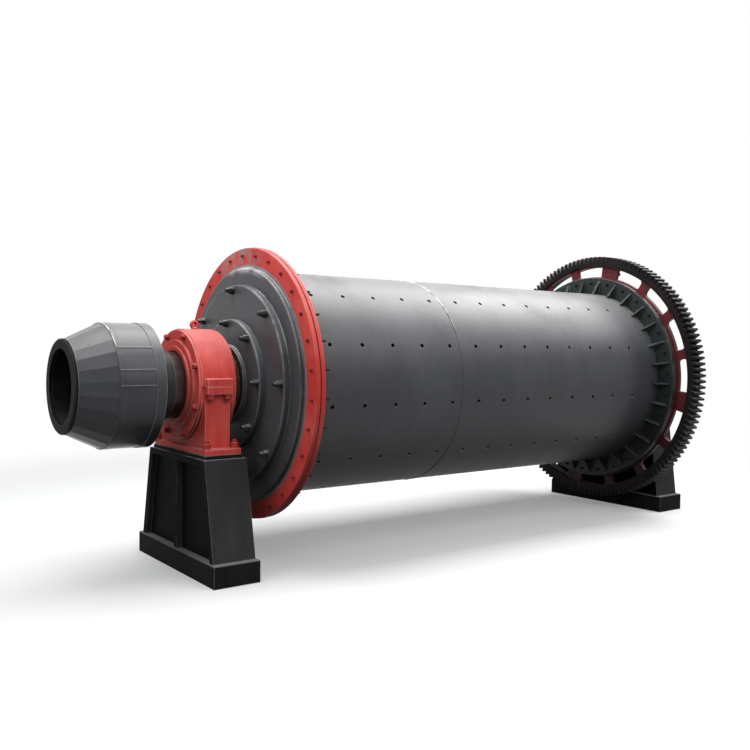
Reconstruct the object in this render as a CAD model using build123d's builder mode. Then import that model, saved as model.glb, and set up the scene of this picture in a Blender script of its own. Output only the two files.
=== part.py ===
"""Ball mill with a drum feeder, two split roller-bearing housings on pedestals and a girth gear.

The drum lies along X, feed end at -X and discharge end at +X. Z = 0 is the floor, and the
origin is under the middle of the machine. Angles round the drum count up from the -Y side.
"""
import os
from math import ceil, cos, pi, radians, sin, tan

from build123d import *

os.makedirs("parts", exist_ok=True)

# Shell
shell_radius = 770
shell_wall = 20
shell_length = 3600
feed_course_length = 1300

# Flanges at the two joints of the shell
flange_width = 153
flange_edge_chamfer = 4
shell_flange_thickness = 33
head_ring_thickness = 32
head_ring_bore_gap = 38
gusset_count = 30
gusset_angle = 9.7
gusset_thickness = 14
gusset_reach = 74
gusset_edge_margin = 33
gusset_nose = 12
gusset_weld_gap = 0.3

# End heads, stepped up towards the trunnion
head_fit_gap = 0.3
first_step_width = 24
first_step_height = 31
second_step_width = 117
second_step_height = 47
head_wall_at_passage = 6
step_edge_chamfer = 6

# Hollow trunnions
trunnion_disc_radius = 436
trunnion_disc_height = 44
journal_radius = 215
collar_rise = 47
collar_length = 24
passage_radius = 150

# Split roller-bearing housings
bearing_offset = 386
barrel_outset = 16.5
trunnion_overhang = 240
running_gap = 0.05
bearing_section = 85
barrel_wall = 64
barrel_half_width = 109
body_half_width = 84
body_side_inset = 14
lug_half_width = 87
lug_side_reach = 31
lug_height = 50
lug_edge_chamfer = 4
foot_height = 36
foot_half_width = 121
foot_side_reach = 38
foot_drop = 27
bearing_ring_half_width = 80

# End covers of the bearings
cover_rim_inset = 5
cover_thickness = 18
cover_step_width = 40
cover_step_height = 13
cover_boss_width = 29
cover_boss_height = 25
cover_shaft_gap = 6
cover_edge_chamfer = 3

# Pedestals: the discharge one spreads wider than the feed one
sole_plate_thickness = 24
sole_plate_margin = 6
pedestal_base_height = 140
pedestal_base_half_width = 157
pedestal_half_width = 145
feed_pedestal_top_margin = 29
feed_pedestal_spread = 127
feed_pedestal_ledge = 42
discharge_pedestal_top_margin = 115
discharge_pedestal_spread = 80
discharge_pedestal_ledge = 43
panel_depth = 40
pedestal_side_width = 46
pedestal_cap_height = 40
pedestal_rib_width = 39
pedestal_edge_chamfer = 5

# Drum feeder on the feed trunnion
neck_rise = 14
neck_length = 127
feeder_plate_thickness = 12
feeder_radius = 391
feeder_wall = 10
feeder_length = 269
feeder_band_width = 62
feeder_band_thickness = 4
feeder_cone_length = 210
mouth_radius = 290
mouth_ring_width = 59
mouth_ring_thickness = 25
mouth_edge_chamfer = 6

# Outlet ring on the discharge trunnion
outlet_length = 60
outlet_bore_rise = 12

# Girth gear: teeth are added until the slotted web clears the flange. Its cast teeth have deep roots.
gear_module = 16
addendum_share = 1
dedendum_share = 2.375
pressure_angle = 14.5
gear_face_width = 138
gear_face_setback = 8
gear_floor_clearance = 88
rim_thickness = 36
web_thickness = 38
web_bore_gap = 28
web_edge_width = 10
slot_flange_gap = 8
slot_height = 88
slot_corner_radius = 26
quadrant_count = 4
slots_per_quadrant = 4
slot_sweep = 16.4
spoke_sweep = 4.8
gear_joint_angle = 79.2
joint_flange_thickness = 36
joint_flange_depth = 44

# Radii that follow from the shell's
flange_radius = shell_radius + flange_width
shell_inner_radius = shell_radius - shell_wall
head_ring_inner_radius = shell_radius + head_ring_bore_gap
first_step_radius = head_ring_inner_radius - first_step_width
second_step_radius = first_step_radius - second_step_width

# The gear's circles, and the height of the mill axis that keeps its teeth off the floor
least_root_radius = flange_radius + slot_flange_gap + slot_height + web_edge_width + rim_thickness
tooth_count = 2 * ceil(least_root_radius / gear_module + dedendum_share)
tip_radius = gear_module * (tooth_count / 2 + addendum_share)
root_radius = gear_module * (tooth_count / 2 - dedendum_share)
rim_inner_radius = root_radius - rim_thickness
slot_outer_radius = rim_inner_radius - web_edge_width
slot_inner_radius = slot_outer_radius - slot_height
axis_height = tip_radius + gear_floor_clearance

# Radii that follow from the journal's and the bearing barrel's
collar_radius = journal_radius + collar_rise
neck_radius = journal_radius + neck_rise
bearing_bore_radius = journal_radius + bearing_section
barrel_radius = bearing_bore_radius + barrel_wall
cover_bore_radius = journal_radius + cover_shaft_gap
cover_boss_radius = cover_bore_radius + cover_boss_width
cover_step_radius = cover_boss_radius + cover_step_width
cover_radius = barrel_radius - cover_rim_inset
body_half_length = barrel_radius - body_side_inset
lug_half_length = barrel_radius + lug_side_reach
foot_half_length = barrel_radius + foot_side_reach

# Places along the mill axis
feed_reach = (
    bearing_offset
    + trunnion_overhang
    + neck_length
    + feeder_plate_thickness
    + feeder_length
    + feeder_cone_length
    + mouth_ring_thickness
)
discharge_reach = bearing_offset + trunnion_overhang + outlet_length
feed_joint_x = feed_reach - (feed_reach + shell_length + discharge_reach) / 2
discharge_joint_x = feed_joint_x + shell_length
mill_axis = Axis((0, 0, axis_height), (1, 0, 0))
ends = {"feed": (feed_joint_x, -1), "discharge": (discharge_joint_x, 1)}


def save(piece, name):
    """Label a finished piece and write its file."""
    piece.part.label = name
    export_step(piece.part, f"parts/{name}.step")


def ring(name, start_x, end_x, inner_radius, outer_radius, edge_chamfer=0):
    """A ring or tube round the mill axis, with its two outer edges chamfered if that is asked."""
    with BuildPart() as piece:
        with BuildSketch(Plane.YZ.offset(start_x)):
            with Locations((0, axis_height)):
                Circle(outer_radius)
                Circle(inner_radius, mode=Mode.SUBTRACT)
        extrude(amount=end_x - start_x)
        if edge_chamfer > 0:
            outer_edges = piece.edges().filter_by(GeomType.CIRCLE).sort_by(SortBy.RADIUS)[-2:]
            chamfer(outer_edges, edge_chamfer)
    save(piece, name)


def turned(points):
    """Revolve an outline of (x, radius) points round the mill axis."""
    with BuildSketch(Plane.XZ) as outline:
        with BuildLine():
            Polyline([(x, axis_height + r) for x, r in points], close=True)
        make_face()
    return revolve(outline.sketch, axis=mill_axis, mode=Mode.PRIVATE)


# Feed joint: the head's ring flange and the shell's flange
ring(
    "feed_head_ring",
    feed_joint_x - head_ring_thickness,
    feed_joint_x,
    head_ring_inner_radius,
    flange_radius,
    flange_edge_chamfer,
)
ring(
    "feed_shell_flange",
    feed_joint_x,
    feed_joint_x + shell_flange_thickness,
    shell_radius,
    flange_radius,
    flange_edge_chamfer,
)

# Shell in two rolled courses, welded end to end
course_joint_x = feed_joint_x + feed_course_length
ring("feed_shell_course", feed_joint_x, course_joint_x, shell_inner_radius, shell_radius)
ring("discharge_shell_course", course_joint_x, discharge_joint_x, shell_inner_radius, shell_radius)

# Discharge flange with its triangular gussets
gusset_root_x = discharge_joint_x - shell_flange_thickness
gusset_top_radius = flange_radius - gusset_edge_margin
gusset_foot_radius = shell_radius + gusset_weld_gap
with BuildPart() as gusset:
    with BuildSketch(Plane.XZ):
        with BuildLine():
            Polyline(
                (gusset_root_x, axis_height + gusset_foot_radius),
                (gusset_root_x, axis_height + gusset_top_radius),
                (gusset_root_x - gusset_nose, axis_height + gusset_top_radius),
                (gusset_root_x - gusset_reach, axis_height + gusset_foot_radius + gusset_nose),
                (gusset_root_x - gusset_reach, axis_height + gusset_foot_radius),
                close=True,
            )
        make_face()
    extrude(amount=gusset_thickness / 2, both=True)
with BuildPart() as discharge_shell_flange:
    with BuildSketch(Plane.YZ.offset(gusset_root_x)):
        with Locations((0, axis_height)):
            Circle(flange_radius)
            Circle(shell_radius, mode=Mode.SUBTRACT)
    extrude(amount=shell_flange_thickness)
    rim_edges = discharge_shell_flange.edges().filter_by(GeomType.CIRCLE).sort_by(SortBy.RADIUS)[-2:]
    chamfer(rim_edges, flange_edge_chamfer)
    for index in range(gusset_count):
        turn = 90 - gusset_angle - index * 360 / gusset_count
        add(gusset.part.rotate(mill_axis, turn))
save(discharge_shell_flange, "discharge_shell_flange")
ring(
    "discharge_head_ring",
    discharge_joint_x,
    discharge_joint_x + head_ring_thickness,
    head_ring_inner_radius,
    flange_radius,
    flange_edge_chamfer,
)

# Heads and trunnions: u counts outwards from the joint face of each end
first_step_u = head_ring_thickness + first_step_height
second_step_u = first_step_u + second_step_height
disc_top_u = second_step_u + trunnion_disc_height
collar_top_u = disc_top_u + collar_length
trunnion_end_u = bearing_offset + trunnion_overhang
head_rim_radius = head_ring_inner_radius - head_fit_gap
for end, (joint_x, side) in ends.items():
    with BuildPart() as head:
        add(
            turned(
                [
                    (joint_x, shell_inner_radius),
                    (joint_x, head_rim_radius),
                    (joint_x + side * head_ring_thickness, head_rim_radius),
                    (joint_x + side * head_ring_thickness, first_step_radius),
                    (joint_x + side * (first_step_u - step_edge_chamfer), first_step_radius),
                    (joint_x + side * first_step_u, first_step_radius - step_edge_chamfer),
                    (joint_x + side * first_step_u, second_step_radius),
                    (joint_x + side * (second_step_u - step_edge_chamfer), second_step_radius),
                    (joint_x + side * second_step_u, second_step_radius - step_edge_chamfer),
                    (joint_x + side * second_step_u, passage_radius),
                    (joint_x + side * (second_step_u - head_wall_at_passage), passage_radius),
                ]
            )
        )
    save(head, f"{end}_head")

    with BuildPart() as trunnion:
        add(
            turned(
                [
                    (joint_x + side * second_step_u, passage_radius),
                    (joint_x + side * second_step_u, trunnion_disc_radius),
                    (joint_x + side * (disc_top_u - step_edge_chamfer), trunnion_disc_radius),
                    (joint_x + side * disc_top_u, trunnion_disc_radius - step_edge_chamfer),
                    (joint_x + side * disc_top_u, collar_radius),
                    (joint_x + side * collar_top_u, collar_radius),
                    (joint_x + side * collar_top_u, journal_radius),
                    (joint_x + side * trunnion_end_u, journal_radius),
                    (joint_x + side * trunnion_end_u, passage_radius),
                ]
            )
        )
    save(trunnion, f"{end}_trunnion")

# Drum feeder: neck, back plate with its band, drum, cone and mouth ring
neck_x = feed_joint_x - trunnion_end_u
back_plate_x = neck_x - neck_length
drum_back_x = back_plate_x - feeder_plate_thickness
cone_base_x = drum_back_x - feeder_length
cone_mouth_x = cone_base_x - feeder_cone_length
mouth_x = cone_mouth_x - mouth_ring_thickness
feeder_inner_radius = feeder_radius - feeder_wall
ring("feeder_neck", back_plate_x, neck_x, passage_radius, neck_radius)
ring("feeder_back_plate", drum_back_x, back_plate_x, passage_radius, feeder_radius)
ring("feeder_drum", cone_base_x, drum_back_x, feeder_inner_radius, feeder_radius)
ring(
    "feeder_band",
    back_plate_x - feeder_band_width,
    back_plate_x,
    feeder_radius,
    feeder_radius + feeder_band_thickness,
)
with BuildPart() as feeder_cone:
    add(
        turned(
            [
                (cone_base_x, feeder_inner_radius),
                (cone_base_x, feeder_radius),
                (cone_mouth_x, mouth_radius),
                (cone_mouth_x, mouth_radius - feeder_wall),
            ]
        )
    )
save(feeder_cone, "feeder_cone")
with BuildPart() as feeder_mouth_ring:
    with BuildSketch(Plane.YZ.offset(mouth_x)):
        with Locations((0, axis_height)):
            Circle(mouth_radius)
            Circle(mouth_radius - mouth_ring_width, mode=Mode.SUBTRACT)
    extrude(amount=mouth_ring_thickness)
    front_edges = feeder_mouth_ring.edges().group_by(Axis.X)[0]
    chamfer(front_edges.sort_by(SortBy.RADIUS)[-1], mouth_edge_chamfer)
save(feeder_mouth_ring, "feeder_mouth_ring")

# Outlet ring
outlet_x = discharge_joint_x + trunnion_end_u
ring("outlet_ring", outlet_x, outlet_x + outlet_length, passage_radius + outlet_bore_rise, neck_radius)

# Girth gear in two halves, bolted behind the discharge head's ring
web_x = discharge_joint_x + head_ring_thickness
rim_x = discharge_joint_x + gear_face_setback
half_gear_reach = tip_radius + gear_module
flank_slope = tan(radians(pressure_angle))
pitch_tooth = pi * gear_module / 2
tip_width = pitch_tooth - 2 * addendum_share * gear_module * flank_slope
root_width = pitch_tooth + 2 * dedendum_share * gear_module * flank_slope
root_bite = gear_module / 2
quadrant_sweep = 360 / quadrant_count
pad_sweep = quadrant_sweep - slots_per_quadrant * slot_sweep - (slots_per_quadrant - 1) * spoke_sweep


def point_at(radius, angle):
    """A point of the YZ sketches at an angle counted up from the -Y side."""
    return (-radius * cos(radians(angle)), axis_height + radius * sin(radians(angle)))


def slot_face(start, square_start, square_end):
    """One web slot, square where it meets a joint pad and round where it meets a spoke."""
    end = start - slot_sweep
    middle = (start + end) / 2
    round_sides = []
    if not square_start:
        round_sides.append(start)
    if not square_end:
        round_sides.append(end)
    with BuildSketch() as slot:
        with BuildLine():
            outer = ThreePointArc(
                point_at(slot_outer_radius, start),
                point_at(slot_outer_radius, middle),
                point_at(slot_outer_radius, end),
            )
            inner = ThreePointArc(
                point_at(slot_inner_radius, start),
                point_at(slot_inner_radius, middle),
                point_at(slot_inner_radius, end),
            )
            Line(outer @ 0, inner @ 0)
            Line(outer @ 1, inner @ 1)
        make_face()
        for angle in round_sides:
            for radius in (slot_inner_radius, slot_outer_radius):
                corner = slot.vertices().sort_by_distance(point_at(radius, angle))[0]
                fillet(corner, slot_corner_radius)
    return slot.sketch


with BuildSketch() as slots:
    for quadrant in range(quadrant_count):
        start = gear_joint_angle - pad_sweep / 2 - quadrant * quadrant_sweep
        for index in range(slots_per_quadrant):
            add(slot_face(start, index == 0, index == slots_per_quadrant - 1))
            start -= slot_sweep + spoke_sweep

for half, turn in (("front", 0), ("rear", 180)):
    half_angle = 180 - gear_joint_angle + turn
    with BuildPart() as web:
        with BuildSketch(Plane.YZ.offset(web_x)):
            with Locations((0, axis_height)):
                Circle(rim_inner_radius)
                Circle(first_step_radius + web_bore_gap, mode=Mode.SUBTRACT)
            add(slots.sketch, mode=Mode.SUBTRACT)
            with Locations((0, axis_height)):
                Rectangle(
                    2 * half_gear_reach,
                    half_gear_reach,
                    rotation=half_angle,
                    align=(Align.CENTER, Align.MIN),
                    mode=Mode.INTERSECT,
                )
        extrude(amount=web_thickness)
        with BuildSketch(Plane.YZ.offset(web_x + web_thickness)):
            for side in (-1, 1):
                with Locations((0, axis_height)):
                    with PolarLocations(0, 1, start_angle=half_angle):
                        with Locations((side * (slot_inner_radius + slot_outer_radius) / 2, 0)):
                            Rectangle(
                                slot_outer_radius - slot_inner_radius,
                                joint_flange_thickness,
                                align=(Align.CENTER, Align.MIN),
                            )
        extrude(amount=joint_flange_depth)
    save(web, f"gear_web_{half}")

    with BuildPart() as rim:
        with BuildSketch(Plane.YZ.offset(rim_x)):
            with Locations((0, axis_height)):
                Circle(root_radius)
                with PolarLocations(root_radius, tooth_count, start_angle=half_angle + 180 / tooth_count):
                    Polygon(
                        (-root_bite, -root_width / 2),
                        (0, -root_width / 2),
                        (tip_radius - root_radius, -tip_width / 2),
                        (tip_radius - root_radius, tip_width / 2),
                        (0, root_width / 2),
                        (-root_bite, root_width / 2),
                        align=None,
                    )
                Circle(rim_inner_radius, mode=Mode.SUBTRACT)
                Rectangle(
                    2 * half_gear_reach,
                    half_gear_reach,
                    rotation=half_angle,
                    align=(Align.CENTER, Align.MIN),
                    mode=Mode.INTERSECT,
                )
        extrude(amount=gear_face_width)
    save(rim, f"gear_rim_{half}")

# Bearings and pedestals, the same at both ends but for the pedestals' spread
barrel_bottom = axis_height - barrel_radius
foot_top = barrel_bottom - foot_drop
foot_bottom = foot_top - foot_height
pedestal_top = foot_bottom - sole_plate_thickness
pedestal_height = pedestal_top - pedestal_base_height
feed_pedestal = (feed_pedestal_top_margin, feed_pedestal_spread, feed_pedestal_ledge)
discharge_pedestal = (discharge_pedestal_top_margin, discharge_pedestal_spread, discharge_pedestal_ledge)
pedestal_shapes = {"feed": feed_pedestal, "discharge": discharge_pedestal}


def block(middle_x, bottom, half_width, half_length, height):
    """A rectangular block centred under the mill axis."""
    with BuildPart() as piece:
        with Locations((middle_x, 0, bottom)):
            Box(2 * half_width, 2 * half_length, height, align=(Align.CENTER, Align.CENTER, Align.MIN))
    return piece


def barrel_half(barrel_x, upper):
    """The housing's barrel on one side of its joint plane, with the bolting lugs.

    The cap's barrel is a full half round. The base's is cut flat at the sides of the body.
    """
    z_align = Align.MIN if upper else Align.MAX
    half_length = barrel_radius if upper else body_half_length
    with BuildPart() as half:
        with Locations((barrel_x, 0, axis_height)):
            Box(
                2 * lug_half_width,
                2 * lug_half_length,
                lug_height,
                align=(Align.CENTER, Align.CENTER, z_align),
            )
        chamfer(half.edges().group_by(Axis.Z)[-1 if upper else 0], lug_edge_chamfer)
        with BuildSketch(Plane.YZ.offset(barrel_x)):
            with Locations((0, axis_height)):
                Circle(barrel_radius)
                Rectangle(2 * half_length, barrel_radius, align=(Align.CENTER, z_align), mode=Mode.INTERSECT)
        extrude(amount=barrel_half_width, both=True)
    return half.part


def bearing_bore(barrel_x):
    """The space that the roller bearing takes in a housing."""
    with BuildPart() as bore:
        with BuildSketch(Plane.YZ.offset(barrel_x)):
            with Locations((0, axis_height)):
                Circle(bearing_bore_radius)
        extrude(amount=barrel_half_width, both=True)
    return bore.part


for end, (joint_x, side) in ends.items():
    bearing_x = joint_x + side * bearing_offset
    barrel_x = bearing_x + side * barrel_outset
    top_margin, spread, ledge = pedestal_shapes[end]
    top_half_length = foot_half_length + top_margin
    bottom_half_length = top_half_length + spread

    base = block(bearing_x, 0, pedestal_base_half_width, bottom_half_length + ledge, pedestal_base_height)
    with base:
        chamfer(base.edges().group_by(Axis.Z)[-1], pedestal_edge_chamfer)
    save(base, f"{end}_pedestal_base")

    with BuildPart() as pedestal:
        with BuildSketch(Plane.YZ.offset(bearing_x)):
            with BuildLine():
                Polyline(
                    (-bottom_half_length, pedestal_base_height),
                    (-top_half_length, pedestal_top),
                    (top_half_length, pedestal_top),
                    (bottom_half_length, pedestal_base_height),
                    close=True,
                )
            make_face()
        extrude(amount=pedestal_half_width, both=True)
        panel_top = pedestal_top - pedestal_cap_height
        panel_top_half_length = top_half_length + spread * pedestal_cap_height / pedestal_height
        for face_side in (-1, 1):
            with BuildSketch(Plane.YZ.offset(bearing_x + face_side * pedestal_half_width)):
                for y_side in (-1, 1):
                    with BuildLine():
                        Polyline(
                            (y_side * pedestal_rib_width / 2, pedestal_base_height),
                            (y_side * pedestal_rib_width / 2, panel_top),
                            (y_side * (panel_top_half_length - pedestal_side_width), panel_top),
                            (y_side * (bottom_half_length - pedestal_side_width), pedestal_base_height),
                            close=True,
                        )
                    make_face()
            extrude(amount=-face_side * panel_depth, mode=Mode.SUBTRACT)
    save(pedestal, f"{end}_pedestal")

    sole_half_width = foot_half_width + sole_plate_margin
    sole_half_length = foot_half_length + sole_plate_margin
    sole_plate = block(bearing_x, pedestal_top, sole_half_width, sole_half_length, sole_plate_thickness)
    save(sole_plate, f"{end}_sole_plate")

    foot = block(bearing_x, foot_bottom, foot_half_width, foot_half_length, foot_height)
    body = block(barrel_x, foot_top, body_half_width, body_half_length, axis_height - foot_top)
    with BuildPart() as housing:
        add(foot.part)
        add(body.part)
        add(barrel_half(barrel_x, upper=False))
        add(bearing_bore(barrel_x), mode=Mode.SUBTRACT)
    save(housing, f"{end}_bearing_base")

    with BuildPart() as cap:
        add(barrel_half(barrel_x, upper=True))
        add(bearing_bore(barrel_x), mode=Mode.SUBTRACT)
    save(cap, f"{end}_bearing_cap")

    ring(
        f"{end}_roller_bearing",
        barrel_x - bearing_ring_half_width,
        barrel_x + bearing_ring_half_width,
        journal_radius + running_gap,
        bearing_bore_radius,
    )

    for place, out in (("outer", side), ("inner", -side)):
        face_x = barrel_x + out * barrel_half_width
        rim_top_x = face_x + out * cover_thickness
        step_top_x = rim_top_x + out * cover_step_height
        boss_top_x = rim_top_x + out * cover_boss_height
        with BuildPart() as cover:
            add(
                turned(
                    [
                        (face_x, cover_bore_radius),
                        (face_x, cover_radius),
                        (rim_top_x - out * cover_edge_chamfer, cover_radius),
                        (rim_top_x, cover_radius - cover_edge_chamfer),
                        (rim_top_x, cover_step_radius),
                        (step_top_x, cover_step_radius),
                        (step_top_x, cover_boss_radius),
                        (boss_top_x, cover_boss_radius),
                        (boss_top_x, cover_bore_radius),
                    ]
                )
            )
        save(cover, f"{end}_bearing_{place}_cover")
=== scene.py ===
"""Looks of the ball mill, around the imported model: paint, steel, bolts, welds, light and camera."""
from math import pi, radians, sqrt

import bmesh
import bpy
from mathutils import Matrix, Vector


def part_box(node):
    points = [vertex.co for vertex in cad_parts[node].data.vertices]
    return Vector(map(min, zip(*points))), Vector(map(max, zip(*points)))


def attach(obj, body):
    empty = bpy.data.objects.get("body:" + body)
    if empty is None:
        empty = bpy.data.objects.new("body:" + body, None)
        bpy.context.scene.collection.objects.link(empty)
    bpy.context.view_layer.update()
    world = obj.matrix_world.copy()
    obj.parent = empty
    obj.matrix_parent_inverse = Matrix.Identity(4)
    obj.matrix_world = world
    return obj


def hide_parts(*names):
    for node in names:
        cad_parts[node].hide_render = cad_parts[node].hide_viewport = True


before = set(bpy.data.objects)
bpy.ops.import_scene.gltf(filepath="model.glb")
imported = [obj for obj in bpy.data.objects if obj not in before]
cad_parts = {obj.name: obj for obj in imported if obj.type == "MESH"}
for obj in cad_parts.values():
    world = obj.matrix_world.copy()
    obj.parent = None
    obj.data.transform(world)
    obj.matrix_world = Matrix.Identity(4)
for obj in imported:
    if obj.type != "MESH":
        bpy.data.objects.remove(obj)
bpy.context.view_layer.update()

# Pedestals, their block bases and the sole plates.
# Welded steel plate stands on a cast base, brushed clean and sprayed with matt black enamel.
# The enamel is thin, so its edges are rubbed to grey, and its faces carry faint runs, pale dust on top that
# is partly painted light, and painted shade below.
black_coat = ("#1c1c1c", "#262626", "#8d8f87")  # as sprayed, faded, and rubbed through at the edges
side_coat = ("#343533", "#3d3e3c", "#8d8f87")
# painted shade for the ends of the stands
end_panel_shade = "#0e0f0f"
black_roughness = 0.6
black_shine = 0.02  # a dry matt coat with dust in it reflects far less than clean paint, which has 0.5
black_dust_and_light = 0.6
black_rub_width = 0.006
standing_runs = (70, 70, 900)  # mm: runs in the enamel are narrow, and long down a piece that stands
# Pale colour for faces turned up, partly dust and partly painted light, and dark colour for faces turned
# down, which is painted shade.
dust_and_light_colour = "#8d8c8c"
underside_shade_colour = "#161616"


def linear(code):
    """Turn an sRGB hex colour into the linear colour that a shader takes."""
    parts = [int(code[place:place + 2], 16) / 255 for place in (1, 3, 5)]
    return (*[part / 12.92 if part <= 0.04045 else ((part + 0.055) / 1.055) ** 2.4 for part in parts], 1)


def add_node(tree, kind, inputs=None, **settings):
    """Add a node. Each input takes a value, an output, or a node that stands for its first output in use.

    An input goes by its number, or by its name, which means the first input in use that has that name.
    """
    made = tree.nodes.new(kind)
    for option, choice in settings.items():
        setattr(made, option, choice)
    sockets = dict(enumerate(made.inputs))
    for socket in made.inputs:
        if socket.enabled:
            sockets.setdefault(socket.name, socket)
    for name, given in (inputs or {}).items():
        if isinstance(given, bpy.types.Node):
            given = next(output for output in given.outputs if output.enabled)
        if isinstance(given, bpy.types.NodeSocket):
            tree.links.new(given, sockets[name])
        else:
            sockets[name].default_value = given
    return made


def new_tree(name):
    """Start an empty node material, with the place of each point of the mill."""
    material = bpy.data.materials.new(name)
    material.use_nodes = True
    tree = material.node_tree
    tree.nodes.clear()
    place = add_node(tree, "ShaderNodeTexCoord").outputs["Object"]
    return material, tree, place


def enamel_paint(tree, place, coat, run_size, rub_width, rub_share=1.0, dust_and_light=0.0):
    """Sprayed enamel as colour, runs and normal: soft patches, pale dust with painted light above, painted
    shade below, pale edges.

    Sizes of patterns are in millimetres. The share of the rubbed edges is a number, or an output or a node.
    """
    sprayed, faded, rubbed = coat
    patch_size = 450
    speck_size = 14
    dent_size = 350
    dent_depth = 0.004
    peel_size = 12  # real orange peel is about 3 mm, drawn coarser so that it shows
    peel_depth = 0.001
    patches = add_node(
        tree, "ShaderNodeTexNoise",
        {"Vector": place, "Scale": 1000 / patch_size, "Detail": 5, "Roughness": 0.6},
    )
    run_place = add_node(
        tree, "ShaderNodeMapping", {"Vector": place, "Scale": [1000 / size for size in run_size]}
    )
    runs = add_node(
        tree, "ShaderNodeTexNoise", {"Vector": run_place, "Scale": 1, "Detail": 6, "Roughness": 0.65}
    )
    specks = add_node(tree, "ShaderNodeTexNoise", {"Vector": place, "Scale": 1000 / speck_size, "Detail": 2})
    patchy_runs = add_node(tree, "ShaderNodeMath", {0: patches, 1: runs}, operation="MULTIPLY")
    faded_here = add_node(
        tree, "ShaderNodeMapRange", {"Value": patchy_runs, "From Min": 0.17, "From Max": 0.42}
    )
    colour = add_node(
        tree, "ShaderNodeMix", {"Factor": faded_here, "A": linear(sprayed), "B": linear(faded)},
        data_type="RGBA",
    )
    speckled_here = add_node(
        tree, "ShaderNodeMapRange", {"Value": specks, "From Min": 0.7, "From Max": 0.82, "To Max": 0.25}
    )
    colour = add_node(
        tree, "ShaderNodeMix", {"Factor": speckled_here, "A": colour, "B": linear(rubbed)}, data_type="RGBA"
    )
    # Faces turned up are mixed towards a pale dust colour, partly dust and partly painted light on the tops;
    # faces turned down are painted darker as shade.
    if dust_and_light > 0:
        facing = add_node(tree, "ShaderNodeTexCoord").outputs["Normal"]
        upward = add_node(tree, "ShaderNodeSeparateXYZ", {"Vector": facing}).outputs["Z"]
        dust_and_light_patches = add_node(
            tree, "ShaderNodeMapRange", {"Value": patches, "From Min": 0.1, "From Max": 0.5, "To Max": dust_and_light}
        )
        dust_and_light_here = add_node(
            tree, "ShaderNodeMapRange",
            {"Value": upward, "From Min": 0.25, "From Max": 0.95, "To Max": dust_and_light_patches},
        )
        colour = add_node(
            tree, "ShaderNodeMix", {"Factor": dust_and_light_here, "A": colour, "B": linear(dust_and_light_colour)},
            data_type="RGBA",
        )
        # Faces turned down are painted darker, as painted shade.
        painted_shade_below = add_node(
            tree, "ShaderNodeMapRange", {"Value": upward, "From Min": 0, "From Max": -0.75, "To Max": 0.75}
        )
        colour = add_node(
            tree, "ShaderNodeMix", {"Factor": painted_shade_below, "A": colour, "B": linear(underside_shade_colour)},
            data_type="RGBA",
        )
    rounded = add_node(tree, "ShaderNodeBevel", {"Radius": rub_width}, samples=6)
    flat = add_node(tree, "ShaderNodeNewGeometry").outputs["Normal"]
    turned = add_node(tree, "ShaderNodeVectorMath", {0: rounded, 1: flat}, operation="DOT_PRODUCT")
    worn_patches = add_node(
        tree, "ShaderNodeMapRange",
        {"Value": patches, "From Min": 0.36, "From Max": 0.55, "To Max": rub_share},
    )
    rubbed_here = add_node(
        tree, "ShaderNodeMapRange",
        {"Value": turned, "From Min": 0.995, "From Max": 0.88, "To Max": worn_patches},
    )
    colour = add_node(
        tree, "ShaderNodeMix", {"Factor": rubbed_here, "A": colour, "B": linear(rubbed)}, data_type="RGBA"
    )
    dents = add_node(tree, "ShaderNodeTexNoise", {"Vector": place, "Scale": 1000 / dent_size, "Detail": 1})
    dented = add_node(
        tree, "ShaderNodeBump", {"Strength": 0.2, "Distance": dent_depth, "Height": dents, "Normal": rounded}
    )
    peel = add_node(tree, "ShaderNodeTexNoise", {"Vector": place, "Scale": 1000 / peel_size, "Detail": 1})
    peeled = add_node(
        tree, "ShaderNodeBump", {"Strength": 0.1, "Distance": peel_depth, "Height": peel, "Normal": dented}
    )
    return colour, runs, peeled


def enamel_surface(tree, colour, runs, normal, roughness, shine, metallic=0.0):
    """Finish an enamelled material: its gloss follows the runs, and shine is how much it reflects."""
    gloss = add_node(
        tree, "ShaderNodeMapRange", {"Value": runs, "To Min": roughness - 0.07, "To Max": roughness + 0.1}
    )
    surface = add_node(
        tree, "ShaderNodeBsdfPrincipled",
        {
            "Base Color": colour, "Metallic": metallic, "Roughness": gloss, "IOR": 1.5, "Normal": normal,
            "Specular IOR Level": shine,
        },
    )
    add_node(tree, "ShaderNodeOutputMaterial", {"Surface": surface})


def sprayed_enamel(name, coat, roughness, shine, run_size, rub_width, rub_share=1.0, dust_and_light=0.0):
    """Alkyd enamel sprayed on steel or on a casting."""
    material, tree, place = new_tree(name)
    colour, runs, normal = enamel_paint(tree, place, coat, run_size, rub_width, rub_share, dust_and_light)
    enamel_surface(tree, colour, runs, normal, roughness, shine)
    return material


def finish_nodes(material, *names):
    """Give carried-over pieces their finish."""
    for name in names:
        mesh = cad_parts[name].data
        mesh.materials.clear()
        mesh.materials.append(material)


black_enamel = sprayed_enamel(
    "black_enamel_on_base", black_coat, black_roughness, black_shine, standing_runs, black_rub_width,
    dust_and_light=black_dust_and_light,
)
# The ends of the stands, facing along the mill, are painted a deep black as shade, and their sides keep the
# lighter coat.
pedestal_enamel, tree, place = new_tree("black_enamel_on_plate")
colour, runs, normal = enamel_paint(tree, place, side_coat, standing_runs, black_rub_width, dust_and_light=black_dust_and_light)
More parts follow.
